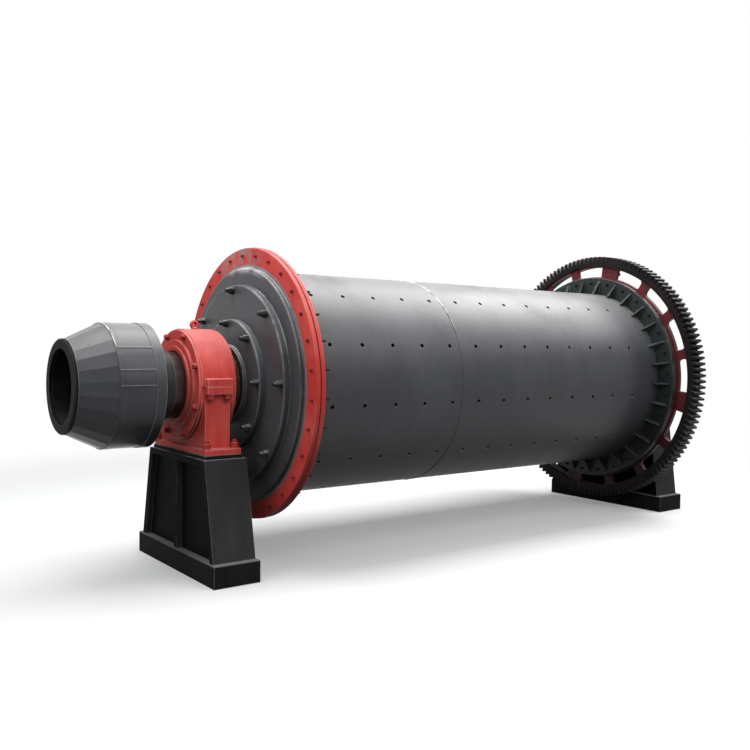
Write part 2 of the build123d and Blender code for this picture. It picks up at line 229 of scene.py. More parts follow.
# Faces turned along the mill are painted deep black as shade.
facing = add_node(tree, "ShaderNodeNewGeometry").outputs["True Normal"]
lengthwise = add_node(tree, "ShaderNodeSeparateXYZ", {"Vector": facing}).outputs["X"]
endward = add_node(tree, "ShaderNodeMath", {0: lengthwise}, operation="ABSOLUTE")
shaded_end_panels = add_node(tree, "ShaderNodeMapRange", {"Value": endward, "From Min": 0.7, "From Max": 0.9})
colour = add_node(
    tree, "ShaderNodeMix", {"Factor": shaded_end_panels, "A": colour, "B": linear(end_panel_shade)}, data_type="RGBA"
)
enamel_surface(tree, colour, runs, normal, black_roughness, black_shine)
for end in ("feed", "discharge"):
    finish_nodes(black_enamel, f"{end}_pedestal_base", f"{end}_sole_plate")
    finish_nodes(pedestal_enamel, f"{end}_pedestal")

# Bearing housings: lower half, cap and the stepped end covers.
# Grey iron castings and turned covers, sprayed with red enamel that the sky bleaches a little.
# Edges of the cast lugs and of the covers are rubbed to a pale pink.
red_coat = ("#c03f3b", "#da5c53", "#e3a79c")
red_roughness = 0.42
red_shine = 0.04
red_dust_and_light = 0.35
red_rub_width = 0.007
red_enamel = sprayed_enamel(
    "red_enamel_on_casting", red_coat, red_roughness, red_shine, standing_runs, red_rub_width, dust_and_light=red_dust_and_light
)
for end in ("feed", "discharge"):
    finish_nodes(
        red_enamel, f"{end}_bearing_base", f"{end}_bearing_cap",
        f"{end}_bearing_outer_cover", f"{end}_bearing_inner_cover",
    )

# Bolts of the bearing housings, and the lifting eyes on their caps.
# Hexagon head bolts of steel hold the covers, the lugs at the joint plane and the foot. They were painted
# with the housing, and the red has dulled on them. The eyes are forged rings, screwed into the caps.
drum_low, drum_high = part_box("feed_shell_course")
axis_z = (drum_low.z + drum_high.z) / 2
feed_joint_x = drum_low.x
discharge_joint_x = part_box("discharge_shell_course")[1].x
cover_thickness = 0.018
cover_bolt_size = 0.032
cover_bolt_stud = 0.001
cover_bolt_inset = {"outer": 0.024, "inner": 0.05}
cover_bolt_count = 8
cover_bolt_turn = 22.5
lug_drop = 0.05
lug_bolt_size = 0.041
lug_bolt_stud = 0.006
lug_bolt_offset = 0.058
lug_bolt_inset = 0.023
foot_thickness = 0.036
foot_bolt_size = 0.046
foot_bolt_stud = 0.018
foot_bolt_offset = 0.095
foot_bolt_inset = 0.042
eye_ring_radius = 0.02
eye_bar_radius = 0.012
eye_base_radius = 0.021
eye_base_height = 0.01
eye_base_rise = 0.003
eye_base_edge = 0.003
upside_down = Matrix.Rotation(pi, 4, "X")
red_bolt_coat = ("#a83733", "#bb4742", "#d68e86")
red_bolt_dust_and_light = 0.2
bolt_runs = (110, 110, 110)
bolt_rub_width = 0.002
red_bolt_enamel = sprayed_enamel(
    "red_enamel_on_bolts", red_bolt_coat, red_roughness, red_shine, bolt_runs, bolt_rub_width,
    rub_share=0.4, dust_and_light=red_bolt_dust_and_light,
)


def select_faces(piece, wanted):
    """In edit mode, select the faces whose middle and normal pass a test."""
    bpy.ops.mesh.select_mode(type="FACE")
    bpy.ops.mesh.select_all(action="DESELECT")
    mesh = bmesh.from_edit_mesh(piece.data)
    for face in mesh.faces:
        face.select_set(wanted(face.calc_center_median(), face.normal))
    bmesh.update_edit_mesh(piece.data)


def hexagon_fastener(name, across_flats, stud_height):
    """A washer, a hexagon with a chamfered top and the end of its stud, from the origin up along Z."""
    washer_radius = 0.66 * across_flats
    washer_height = 0.12 * across_flats
    head_height = 0.66 * across_flats
    stud_radius = 0.3 * across_flats
    edge = 0.08 * across_flats
    flat_height = head_height - edge
    flat_top = washer_height + flat_height
    bpy.ops.object.select_all(action="DESELECT")
    bpy.ops.mesh.primitive_cylinder_add(
        vertices=14, radius=washer_radius, depth=washer_height, location=(0, 0, washer_height / 2)
    )
    bpy.ops.object.transform_apply()
    model = bpy.context.object
    model.name = name
    bpy.ops.object.mode_set(mode="EDIT")
    bpy.ops.mesh.select_all(action="DESELECT")
    bpy.ops.mesh.primitive_cylinder_add(
        vertices=6, radius=across_flats / sqrt(3), depth=flat_height,
        location=(0, 0, washer_height + flat_height / 2),
    )
    select_faces(model, lambda middle, normal: middle.z > flat_top - edge / 2 and normal.z > 0.9)
    bpy.ops.mesh.inset(thickness=edge, depth=edge)
    bpy.ops.mesh.inset(thickness=across_flats / 2 - edge - stud_radius, depth=0)
    bpy.ops.mesh.extrude_region_move(TRANSFORM_OT_translate={"value": (0, 0, stud_height)})
    bpy.ops.object.mode_set(mode="OBJECT")
    return model


def joined_copies(model, name, places):
    """Copy a finished model to each place, join the copies and remove the model."""
    bpy.ops.object.select_all(action="DESELECT")
    for place in places:
        piece = bpy.data.objects.new(f"{name}_copy", model.data.copy())
        piece.data.transform(place)
        bpy.context.scene.collection.objects.link(piece)
        piece.select_set(True)
    bpy.context.view_layer.objects.active = piece
    bpy.ops.object.join()
    piece.name = name
    bpy.data.objects.remove(model)
    return piece


def set_out(model, name, places, material, body):
    """Set a model at each place, as one piece that rides on a body."""
    piece = joined_copies(model, name, places)
    piece.data.materials.append(material)
    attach(piece, body)


def even_angles(count, turn):
    """The angles of bolts or holes that stand evenly round the mill axis, from the turn of the first."""
    return [turn + index * 360 / count for index in range(count)]


def round_axis(x, radius, angle):
    """A place at a radius from the mill axis, with its -Y side outwards. The angle counts up from -Y."""
    return (
        Matrix.Translation((x, 0, axis_z))
        @ Matrix.Rotation(-radians(angle), 4, "X")
        @ Matrix.Translation((0, -radius, 0))
    )


def on_face(x, radius, angle, outward):
    """A place on a face across the mill axis, with Z off the face: outward is -1 or 1 along X."""
    return round_axis(x, radius, angle) @ Matrix.Rotation(outward * pi / 2, 4, "Y")


for end, outer_side in (("feed", -1), ("discharge", 1)):
    cap_low, cap_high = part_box(f"{end}_bearing_cap")
    cap_x = (cap_low.x + cap_high.x) / 2
    cover_bolts = []
    for cover, outward in (("outer", outer_side), ("inner", -outer_side)):
        cover_low, cover_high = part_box(f"{end}_bearing_{cover}_cover")
        cover_bolt_radius = (cover_high.z - cover_low.z) / 2 - cover_bolt_inset[cover]
        face_x = cap_high.x + cover_thickness if outward > 0 else cap_low.x - cover_thickness
        cover_bolts += [
            on_face(face_x, cover_bolt_radius, angle, outward)
            for angle in even_angles(cover_bolt_count, cover_bolt_turn)
        ]
    bolt = hexagon_fastener("cover_bolt", cover_bolt_size, cover_bolt_stud)
    set_out(bolt, f"{end}_cover_bolts", cover_bolts, red_bolt_enamel, "root")

    lug_bolt_y = cap_high.y - lug_bolt_inset
    lug_bolts = [
        Matrix.Translation((cap_x + along, across, axis_z - lug_drop)) @ upside_down
        for along in (-lug_bolt_offset, lug_bolt_offset)
        for across in (-lug_bolt_y, lug_bolt_y)
    ]
    bolt = hexagon_fastener("lug_bolt", lug_bolt_size, lug_bolt_stud)
    set_out(bolt, f"{end}_lug_bolts", lug_bolts, red_bolt_enamel, "root")

    base_low, base_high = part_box(f"{end}_bearing_base")
    sole_low, sole_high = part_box(f"{end}_sole_plate")
    sole_x = (sole_low.x + sole_high.x) / 2
    foot_bolt_y = base_high.y - foot_bolt_inset
    foot_bolts = [
        Matrix.Translation((sole_x + along, across, base_low.z + foot_thickness))
        for along in (-foot_bolt_offset, foot_bolt_offset)
        for across in (-foot_bolt_y, foot_bolt_y)
    ]
    bolt = hexagon_fastener("foot_bolt", foot_bolt_size, foot_bolt_stud)
    set_out(bolt, f"{end}_foot_bolts", foot_bolts, red_bolt_enamel, "root")

    bpy.ops.object.select_all(action="DESELECT")
    bpy.ops.mesh.primitive_torus_add(
        location=(cap_x, 0, cap_high.z + eye_ring_radius + 0.6 * eye_bar_radius), rotation=(pi / 2, 0, 0),
        major_segments=28, minor_segments=12, major_radius=eye_ring_radius, minor_radius=eye_bar_radius,
    )
    bpy.ops.object.transform_apply()
    eye = bpy.context.object
    eye.name = f"{end}_lifting_eye"
    bpy.ops.object.mode_set(mode="EDIT")
    bpy.ops.mesh.select_all(action="DESELECT")
    bpy.ops.mesh.primitive_cylinder_add(
        vertices=20, radius=eye_base_radius, depth=eye_base_height,
        location=(cap_x, 0, cap_high.z + eye_base_rise),
    )
    bpy.ops.mesh.bevel(offset=eye_base_edge, segments=2)
    bpy.ops.object.mode_set(mode="OBJECT")
    bpy.ops.object.shade_smooth_by_angle(angle=radians(40))
    eye.data.materials.append(red_enamel)
    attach(eye, "root")

# Roller bearings inside the housings.
# Ground rings of chrome steel, seen only through the gap at the shaft.
# Fine grinding marks run round them, and a film of oil dulls them in soft patches.
ring_steel = "#8f8f90"
oil_film = "#5d5a52"
oil_film_size = 120
grinding_marks = (4, 250, 250)
grinding_depth = 0.001
ring_roughness = 0.3
ground_steel, tree, place = new_tree("ground_bearing_steel")
marks_place = add_node(
    tree, "ShaderNodeMapping", {"Vector": place, "Scale": [1000 / size for size in grinding_marks]}
)
marks = add_node(tree, "ShaderNodeTexNoise", {"Vector": marks_place, "Scale": 1, "Detail": 4})
film = add_node(
    tree, "ShaderNodeTexNoise",
    {"Vector": place, "Scale": 1000 / oil_film_size, "Detail": 4, "Roughness": 0.6},
)
oiled_here = add_node(tree, "ShaderNodeMapRange", {"Value": film, "From Min": 0.35, "From Max": 0.65})
colour = add_node(
    tree, "ShaderNodeMix", {"Factor": oiled_here, "A": linear(ring_steel), "B": linear(oil_film)},
    data_type="RGBA",
)
gloss = add_node(
    tree, "ShaderNodeMapRange",
    {"Value": marks, "To Min": ring_roughness - 0.1, "To Max": ring_roughness + 0.12},
)
ground = add_node(tree, "ShaderNodeBump", {"Strength": 0.15, "Distance": grinding_depth, "Height": marks})
surface = add_node(
    tree, "ShaderNodeBsdfPrincipled",
    {"Base Color": colour, "Metallic": 1, "Roughness": gloss, "Normal": ground},
)
add_node(tree, "ShaderNodeOutputMaterial", {"Surface": surface})
for end in ("feed", "discharge"):
    finish_nodes(ground_steel, f"{end}_roller_bearing")

# Shell courses, rolled from 20 mm steel plate and welded end to end.
# Drilled in twelve rows for the bolts of the lining. The holes stand open, so each shows the dark inside.
# Sprayed with satin slate-grey enamel, with faint bands where it ran as the drum was turned.
shell_radius = (drum_high.z - drum_low.z) / 2
plate_thickness = 0.02
hole_radius = 0.0155
hole_start = 0.191
hole_pitch = 0.253
hole_columns = 13
hole_rows = 12
hole_turn = 20.5
drill_length = 0.1
grey_coat = ("#3b3c3f", "#47484c", "#a5a7aa")
grey_roughness = 0.35
grey_shine = 0.22
grey_dust_and_light = 0.5
rolling_runs = (200, 1000, 1000)
shell_rub_width = 0.003
grey_enamel = sprayed_enamel(
    "grey_enamel_on_rolled_plate", grey_coat, grey_roughness, grey_shine, rolling_runs, shell_rub_width,
    dust_and_light=grey_dust_and_light,
)


def on_shell(x, radius, angle):
    """A place on a surface round the mill axis, with Z off the surface."""
    return round_axis(x, radius, angle) @ Matrix.Rotation(pi / 2, 4, "X")


def shape_with(kind, **settings):
    """Apply a modifier to the active piece."""
    piece = bpy.context.object
    bpy.ops.object.modifier_add(type=kind)
    modifier = piece.modifiers[-1]
    for option, choice in settings.items():
        setattr(modifier, option, choice)
    bpy.ops.object.modifier_apply(modifier=modifier.name)


bpy.ops.object.select_all(action="DESELECT")
bpy.ops.mesh.primitive_cylinder_add(vertices=24, radius=hole_radius, depth=drill_length)
hole_places = [
    on_shell(feed_joint_x + hole_start + column * hole_pitch, shell_radius, angle)
    for column in range(hole_columns)
    for angle in even_angles(hole_rows, hole_turn)
]
drills = joined_copies(bpy.context.object, "liner_bolt_drills", hole_places)
for node in ("feed_shell_course", "discharge_shell_course"):
    course_low, course_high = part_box(node)
    bpy.ops.object.select_all(action="DESELECT")
    bpy.ops.mesh.primitive_cylinder_add(
        vertices=540, radius=shell_radius, depth=course_high.x - course_low.x, end_fill_type="NOTHING",
        location=((course_low.x + course_high.x) / 2, 0, axis_z), rotation=(0, pi / 2, 0),
    )
    bpy.ops.object.transform_apply()
    course = bpy.context.object
    course.name = f"drilled_{node}"
    shape_with("SOLIDIFY", thickness=plate_thickness)
    shape_with("BOOLEAN", object=drills, operation="DIFFERENCE")
    bpy.ops.object.shade_smooth_by_angle(angle=radians(30))
    course.data.materials.append(grey_enamel)
    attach(course, "drum")
    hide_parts(node)
bpy.data.objects.remove(drills)

# Weld bead round the drum between the two courses.
# Laid by a submerged-arc machine: a low rippled bead, 17 mm wide and 4 mm high, sprayed with the shell.
# On the upper side pale spots are painted on the bead as a highlight, and lower down it shows the enamel.
weld_x = drum_high.x
weld_radius = 0.0115
weld_height = 0.004
weld_ripple = 0.12
weld_highlight_colour = "#cdcdcc"
highlight_spot_size = 70


def girth_weld(name, x, radius, bead_radius, height, material):
    """A rippled bead round the mill axis, which stands out by its height and is sunk in otherwise."""
    bpy.ops.object.select_all(action="DESELECT")
    bpy.ops.mesh.primitive_torus_add(
        location=(x, 0, axis_z), rotation=(0, pi / 2, 0), major_segments=360, minor_segments=12,
        major_radius=radius + height - bead_radius, minor_radius=bead_radius,
    )
    bpy.ops.object.transform_apply()
    bead = bpy.context.object
    bead.name = name
    bpy.ops.object.mode_set(mode="EDIT")
    bpy.ops.transform.vertex_random(offset=weld_ripple * bead_radius, seed=7)
    bpy.ops.object.mode_set(mode="OBJECT")
    bpy.ops.object.shade_smooth()
    bead.data.materials.append(material)
    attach(bead, "drum")


weld_enamel_with_highlight, tree, place = new_tree("grey_enamel_with_weld_highlight")
colour, runs, normal = enamel_paint(
    tree, place, grey_coat, bolt_runs, bolt_rub_width, rub_share=0.3, dust_and_light=grey_dust_and_light
)
# Spots on the faces turned up are painted pale, as a highlight on the bead.
facing = add_node(tree, "ShaderNodeTexCoord").outputs["Normal"]
upward = add_node(tree, "ShaderNodeSeparateXYZ", {"Vector": facing}).outputs["Z"]
upward_highlight_side = add_node(tree, "ShaderNodeMapRange", {"Value": upward, "From Min": 0.5, "From Max": 0.75})
spots = add_node(tree, "ShaderNodeTexNoise", {"Vector": place, "Scale": 1000 / highlight_spot_size, "Detail": 4})
highlighted_here = add_node(
    tree, "ShaderNodeMapRange", {"Value": spots, "From Min": 0.36, "From Max": 0.56, "To Max": upward_highlight_side}
)
colour = add_node(
    tree, "ShaderNodeMix", {"Factor": highlighted_here, "A": colour, "B": linear(weld_highlight_colour)}, data_type="RGBA"
)
enamel_surface(tree, colour, runs, normal, grey_roughness, grey_shine)
girth_weld("shell_girth_weld", weld_x, shell_radius, weld_radius, weld_height, weld_enamel_with_highlight)

# Stepped heads with the trunnions bolted on.
# Cast steel, turned on the steps and sprayed with the shell's grey enamel. The step edges are rubbed pale in
# broad bands, as wear and as a painted highlight that is brighter higher up.
# The journal is left bare: turned steel under a brown film of oil. Red spray drifted onto the head's rim.
head_coat = ("#424346", "#4d4e52", "#cfd0d2")
head_runs = (400, 400, 400)
head_rub_width = 0.013
overspray_centre = (feed_joint_x - 0.04, -0.05, axis_z + 0.79)
overspray_core = 0.1
overspray_reach = 0.3
overspray_radius = 0.74
overspray_cloud_size = 110
overspray_pale = "#c9c5c9"
joint_paint = "#85797b"
joint_paint_radius = 0.786
joint_paint_fade = 0.012
journal_radius = 0.256
journal_edge = 0.004
journal_tint = "#4c3a36"
journal_stain = "#2a2624"


def head_paint_with_highlight(tree, place):
    """Enamel whose edges are rubbed pale, with a painted highlight that grows on the upper steps, and the
    distance from the axis.
    """
    height = add_node(tree, "ShaderNodeSeparateXYZ", {"Vector": place}).outputs["Z"]
    # The share of pale edges rises with height, as a painted highlight on the upper steps.
    rub_share = add_node(
        tree, "ShaderNodeMapRange",
        {"Value": height, "From Min": axis_z - 0.25, "From Max": axis_z + 0.35, "To Min": 0.25},
    )
    colour, runs, normal = enamel_paint(
        tree, place, head_coat, head_runs, head_rub_width, rub_share, grey_dust_and_light
    )
    across_axis = add_node(
        tree, "ShaderNodeMapping", {"Vector": place, "Location": (0, 0, -axis_z), "Scale": (0, 1, 1)}
    )
    from_axis = add_node(tree, "ShaderNodeVectorMath", {0: across_axis}, operation="LENGTH")
    return colour, runs, normal, from_axis


head_enamel, tree, place = new_tree("grey_enamel_on_turned_casting")
colour, runs, normal, from_axis = head_paint_with_highlight(tree, place)
rim = add_node(
    tree, "ShaderNodeMapRange",
    {"Value": from_axis, "From Min": overspray_radius, "From Max": joint_paint_radius},
)
from_centre = add_node(tree, "ShaderNodeVectorMath", {0: place, 1: overspray_centre}, operation="DISTANCE")
near = add_node(
    tree, "ShaderNodeMapRange",
    {"Value": from_centre, "From Min": overspray_reach, "From Max": overspray_core, "To Max": rim},
)
cloud = add_node(
    tree, "ShaderNodeTexNoise", {"Vector": place, "Scale": 1000 / overspray_cloud_size, "Detail": 5}
)
drifted_here = add_node(
    tree, "ShaderNodeMapRange", {"Value": cloud, "From Min": 0.35, "From Max": 0.55, "To Max": near}
)
colour = add_node(
    tree, "ShaderNodeMix", {"Factor": drifted_here, "A": colour, "B": linear(overspray_pale)},
    data_type="RGBA",
)
at_joint = add_node(
    tree, "ShaderNodeMapRange",
    {"Value": from_axis, "From Min": joint_paint_radius, "From Max": joint_paint_radius + joint_paint_fade},
)
colour = add_node(
    tree, "ShaderNodeMix", {"Factor": at_joint, "A": colour, "B": linear(joint_paint)}, data_type="RGBA"
)
enamel_surface(tree, colour, runs, normal, grey_roughness, grey_shine)
finish_nodes(head_enamel, "feed_head", "discharge_head")

trunnion_enamel, tree, place = new_tree("grey_enamel_and_oiled_journal")
colour, runs, normal, from_axis = head_paint_with_highlight(tree, place)
bare_here = add_node(
    tree, "ShaderNodeMapRange",
    {"Value": from_axis, "From Min": journal_radius, "From Max": journal_radius - journal_edge},
)
stained_here = add_node(tree, "ShaderNodeMapRange", {"Value": runs, "From Min": 0.4, "From Max": 0.62})
oiled = add_node(
    tree, "ShaderNodeMix", {"Factor": stained_here, "A": linear(journal_tint), "B": linear(journal_stain)},
    data_type="RGBA",
)
colour = add_node(tree, "ShaderNodeMix", {"Factor": bare_here, "A": colour, "B": oiled}, data_type="RGBA")
clean_metal = add_node(
    tree, "ShaderNodeMapRange", {"Value": runs, "From Min": 0.2, "From Max": 0.6, "To Max": 0.8}
)
metal_here = add_node(tree, "ShaderNodeMath", {0: bare_here, 1: clean_metal}, operation="MULTIPLY")
enamel_surface(tree, colour, runs, normal, grey_roughness, grey_shine, metal_here)
finish_nodes(trunnion_enamel, "feed_trunnion", "discharge_trunnion")

# Bolts that hold the heads to their rings and the trunnions to the heads.
# Black hexagon bolts with long studs, eight on each circle.
# Spray from the heads has touched them with grey, and their tops are pale with dust that is partly painted
# light.
head_step = 0.11
head_bolt_radius = 0.631
head_bolt_turn = 2
disc_step = 0.154
disc_bolt_radius = 0.408
disc_bolt_turn = 3
head_bolt_count = 8
head_bolt_size = 0.042
head_bolt_stud = 0.026
head_bolt_coat = ("#1d1d1e", "#262627", "#a5a7aa")
bolt_enamel_with_dust_and_light = sprayed_enamel(
    "grey_enamel_on_bolts", head_bolt_coat, roughness=0.4, shine=0.2, run_size=bolt_runs, rub_width=0.003,
    rub_share=0.4, dust_and_light=1.0,
)
for end, joint_x, outward in (("feed", feed_joint_x, -1), ("discharge", discharge_joint_x, 1)):
    head_bolts = [
        on_face(joint_x + outward * head_step, head_bolt_radius, angle, outward)
        for angle in even_angles(head_bolt_count, head_bolt_turn)
    ]
    disc_bolts = [
        on_face(joint_x + outward * disc_step, disc_bolt_radius, angle, outward)
        for angle in even_angles(head_bolt_count, disc_bolt_turn)
    ]
    bolt = hexagon_fastener("head_bolt", head_bolt_size, head_bolt_stud)
    set_out(bolt, f"{end}_head_bolts", head_bolts + disc_bolts, bolt_enamel_with_dust_and_light, "drum")

# Ring flanges at the feed joint, with their bolts and a line of dark red sealant between them.
# Rings flame-cut from plate and sprayed red, scraped grey at the top where they were slung.
# The bolt heads are painted with the rings, and the nuts and studs behind them are left black.
flange_bolt_radius = 0.87
flange_bolt_count = 30
flange_bolt_size = 0.019
flange_bolt_stud = 0.004
flange_nut_size = 0.024
flange_nut_stud = 0.042
feed_bolt_turn = 7.7
seal_radius = 0.0065
seal_height = 0.0025
ring_runs = (330, 330, 330)
scrape_grey = "#8d7f80"
scrape_centre = (feed_joint_x, 0.12, axis_z + 0.87)
scrape_core = 0.1
scrape_reach = 0.42
scrape_share = 0.85
scrape_cloud_size = 90
red_plate, tree, place = new_tree("red_enamel_on_plate")
colour, runs, normal = enamel_paint(
    tree, place, red_coat, ring_runs, red_rub_width, rub_share=0.8, dust_and_light=red_dust_and_light
)
from_centre = add_node(tree, "ShaderNodeVectorMath", {0: place, 1: scrape_centre}, operation="DISTANCE")
near = add_node(
    tree, "ShaderNodeMapRange",
    {"Value": from_centre, "From Min": scrape_reach, "From Max": scrape_core, "To Max": scrape_share},
)
cloud = add_node(
    tree, "ShaderNodeTexNoise", {"Vector": place, "Scale": 1000 / scrape_cloud_size, "Detail": 4}
)
scraped_here = add_node(
    tree, "ShaderNodeMapRange", {"Value": cloud, "From Min": 0.42, "From Max": 0.6, "To Max": near}
)
colour = add_node(
    tree, "ShaderNodeMix", {"Factor": scraped_here, "A": colour, "B": linear(scrape_grey)}, data_type="RGBA"
)
enamel_surface(tree, colour, runs, normal, red_roughness, red_shine)
finish_nodes(red_plate, "feed_head_ring", "feed_shell_flange")
dark_red_coat = ("#8e302e", "#702828", "#a0524c")
dark_red = sprayed_enamel(
    "dark_red_enamel_on_bolts", dark_red_coat, roughness=0.5, shine=0.15, run_size=bolt_runs,
    rub_width=bolt_rub_width, rub_share=0.3,
)
black_bolt_coat = ("#131212", "#1b1918", "#4a4846")
black_bolt_steel = sprayed_enamel(
    "oiled_black_bolt_steel", black_bolt_coat, roughness=0.5, shine=0.1, run_size=bolt_runs,
    rub_width=bolt_rub_width, rub_share=0.3,
)
sealant_coat = ("#642221", "#4c1b1b", "#8a3a36")
dark_seal = sprayed_enamel(
    "dark_joint_sealant", sealant_coat, roughness=0.6, shine=0.1, run_size=bolt_runs,
    rub_width=bolt_rub_width, rub_share=0.2,
)
head_ring_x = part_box("feed_head_ring")[0].x
flange_low, flange_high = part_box("feed_shell_flange")
flange_radius = (flange_high.z - flange_low.z) / 2
feed_bolt_angles = even_angles(flange_bolt_count, feed_bolt_turn)
flange_bolts = [on_face(head_ring_x, flange_bolt_radius, angle, -1) for angle in feed_bolt_angles]
bolt = hexagon_fastener("flange_bolt", flange_bolt_size, flange_bolt_stud)
set_out(bolt, "feed_flange_bolts", flange_bolts, dark_red, "drum")
flange_nuts = [on_face(flange_high.x, flange_bolt_radius, angle, 1) for angle in feed_bolt_angles]
nut = hexagon_fastener("flange_nut", flange_nut_size, flange_nut_stud)
set_out(nut, "feed_flange_nuts", flange_nuts, black_bolt_steel, "drum")
girth_weld("feed_joint_seal", flange_low.x, flange_radius, seal_radius, seal_height, dark_seal)

# Discharge flange with its gussets, and the bolts between them.
# Plate welded to the shell, sprayed with grey enamel that gear grease has turned dark and greenish, and
# painted darker still as shade.
# Black through bolts clamp it to the web of the gear, and show a hexagon on each side.
# The coat is dark partly from grease and partly as painted shade.
greasy_and_shaded_coat = ("#202626", "#2b3232", "#8b9391")
low_dark_colour = "#141212"
greasy_rub_width = 0.006
discharge_bolt_turn = 3.7
discharge_bolt_stud = 0.008
flange_front_x = discharge_joint_x - 0.033
web_back_x = discharge_joint_x + 0.07


def enamel_darker_below(name, coat, roughness, shine, rub_share):
    """Enamel beside the gear, mixed towards near black the lower it lies."""
    material, tree, place = new_tree(name)
    colour, runs, normal = enamel_paint(tree, place, coat, ring_runs, greasy_rub_width, rub_share)
    # Darker towards the bottom, by height.
    height = add_node(tree, "ShaderNodeSeparateXYZ", {"Vector": place}).outputs["Z"]
    darker_below = add_node(
        tree, "ShaderNodeMapRange",
        {"Value": height, "From Min": axis_z + 0.25, "From Max": axis_z - 0.75, "To Max": 0.75},
    )
    colour = add_node(
        tree, "ShaderNodeMix", {"Factor": darker_below, "A": colour, "B": linear(low_dark_colour)},
        data_type="RGBA",
    )
    enamel_surface(tree, colour, runs, normal, roughness, shine)
    return material


greasy_grey = enamel_darker_below(
    "greasy_grey_enamel_on_plate", greasy_and_shaded_coat, roughness=0.4, shine=0.2, rub_share=1.0
)
finish_nodes(greasy_grey, "discharge_shell_flange")
flange_bolts = []
for angle in even_angles(flange_bolt_count, discharge_bolt_turn):
    flange_bolts.append(on_face(flange_front_x, flange_bolt_radius, angle, -1))
    flange_bolts.append(on_face(web_back_x, flange_bolt_radius, angle, 1))
bolt = hexagon_fastener("flange_bolt", flange_bolt_size, discharge_bolt_stud)
set_out(bolt, "discharge_flange_bolts", flange_bolts, black_bolt_steel, "drum")

# Girth gear: its slotted web, the ring that it is bolted against, and the bolts of its two joints.
# Cast steel halves that meet in joint flanges, with a through bolt in each.
# Grease thrown from the teeth has dulled their red enamel to a brown red.
dull_red_coat = ("#5e2429", "#431b1f", "#8a504c")
gear_joint_turn = 79.2
joint_flange_thickness = 0.036
joint_bolt_x = web_back_x + 0.024
joint_bolt_radius = 0.976
joint_bolt_size = 0.036
joint_bolt_stud = 0.008
dull_red = enamel_darker_below(
    "greasy_red_enamel_on_casting", dull_red_coat, roughness=0.45, shine=0.15, rub_share=0.6
)
finish_nodes(dull_red, "discharge_head_ring", "gear_web_front", "gear_web_rear")
joint_bolts = []
for angle in (gear_joint_turn, gear_joint_turn - 180):
    joint = round_axis(joint_bolt_x, joint_bolt_radius, angle)
    joint_bolts.append(joint @ Matrix.Translation((0, 0, joint_flange_thickness)))
    joint_bolts.append(joint @ Matrix.Translation((0, 0, -joint_flange_thickness)) @ upside_down)
bolt = hexagon_fastener("joint_bolt", joint_bolt_size, joint_bolt_stud)
set_out(bolt, "gear_joint_bolts", joint_bolts, dull_red, "drum")

# Gear rim with its teeth.
# Cast steel, with flanks cut bright and then coated with black open-gear grease.
# The grease is matt, so only the tips of the teeth catch some light; faces turned up are paler with dust,
# partly painted light.
grease_coat = ("#121212", "#251a1b", "#5b5f58")
tooth_runs = (250, 110, 110)
greased_steel = sprayed_enamel(
    "black_gear_grease_on_steel", grease_coat, roughness=0.5, shine=0.08, run_size=tooth_runs,
    rub_width=0.004, rub_share=0.4, dust_and_light=0.35,
)
finish_nodes(greased_steel, "gear_rim_front", "gear_rim_rear")

# Drum feeder: mouth ring, cone, drum with its band and back plate, and the neck. The outlet ring matches.
# Rolled from thin plate, with the cone folded in flats, and seam welded. Weld beads and seams stand proud.
# Sprayed with the shell's grey enamel, glossier on the thin plate, and darker at the mouth and the neck.
cone_low, cone_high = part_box("feeder_cone")
feeder_low, feeder_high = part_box("feeder_drum")
mouth_ring_low, mouth_ring_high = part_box("feeder_mouth_ring")
band_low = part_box("feeder_band")[0]
feeder_radius = (feeder_high.z - feeder_low.z) / 2
mouth_radius = (mouth_ring_high.z - mouth_ring_low.z) / 2
cone_flats = 26
cone_turn = 6.3
cone_wall = 0.01
cone_weld_radius = 0.006
cone_weld_height = 0.002
thin_weld_radius = 0.005
thin_weld_height = 0.0015
lap_width = 0.03
seam_angles = (38, 16, 2)
seam_width = 0.014
seam_height = 0.006
seam_edge = 0.0025
feeder_enamel = sprayed_enamel(
    "grey_enamel_on_thin_plate", grey_coat, roughness=0.28, shine=0.2, run_size=(670, 110, 110),
    rub_width=0.007, dust_and_light=grey_dust_and_light,
)
finish_nodes(feeder_enamel, "feeder_drum", "feeder_band", "feeder_back_plate")
neck_coat = ("#1b1c1c", "#262726", "#97958f")
dark_neck = sprayed_enamel(
    "dark_grey_enamel_on_neck", neck_coat, roughness=0.45, shine=0.2, run_size=rolling_runs, rub_width=0.006
)
finish_nodes(dark_neck, "feeder_neck", "outlet_ring")
mouth_coat = ("#131112", "#251f20", "#7d7a79")
dark_mouth = sprayed_enamel(
    "dark_enamel_on_mouth_ring", mouth_coat, roughness=0.55, shine=0.03, run_size=(200, 200, 200),
    rub_width=0.005,
)
finish_nodes(dark_mouth, "feeder_mouth_ring")
bpy.ops.object.select_all(action="DESELECT")
bpy.ops.mesh.primitive_cone_add(
    vertices=cone_flats, radius1=feeder_radius, radius2=mouth_radius, depth=cone_high.x - cone_low.x,
    end_fill_type="NOTHING", location=((cone_low.x + cone_high.x) / 2, 0, 0), rotation=(0, -pi / 2, 0),
)
bpy.ops.object.transform_apply()
cone = bpy.context.object
cone.name = "folded_feeder_cone"
cone.data.transform(Matrix.Translation((0, 0, axis_z)) @ Matrix.Rotation(-radians(cone_turn), 4, "X"))
shape_with("SOLIDIFY", thickness=cone_wall)
cone.data.materials.append(feeder_enamel)
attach(cone, "drum")
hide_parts("feeder_cone")
girth_weld(
    "feeder_cone_weld", cone_high.x, feeder_radius, cone_weld_radius, cone_weld_height,
    weld_enamel_with_highlight,
)
girth_weld(
    "feeder_lap_weld", cone_high.x + lap_width, feeder_radius, thin_weld_radius, thin_weld_height,
    feeder_enamel,
)
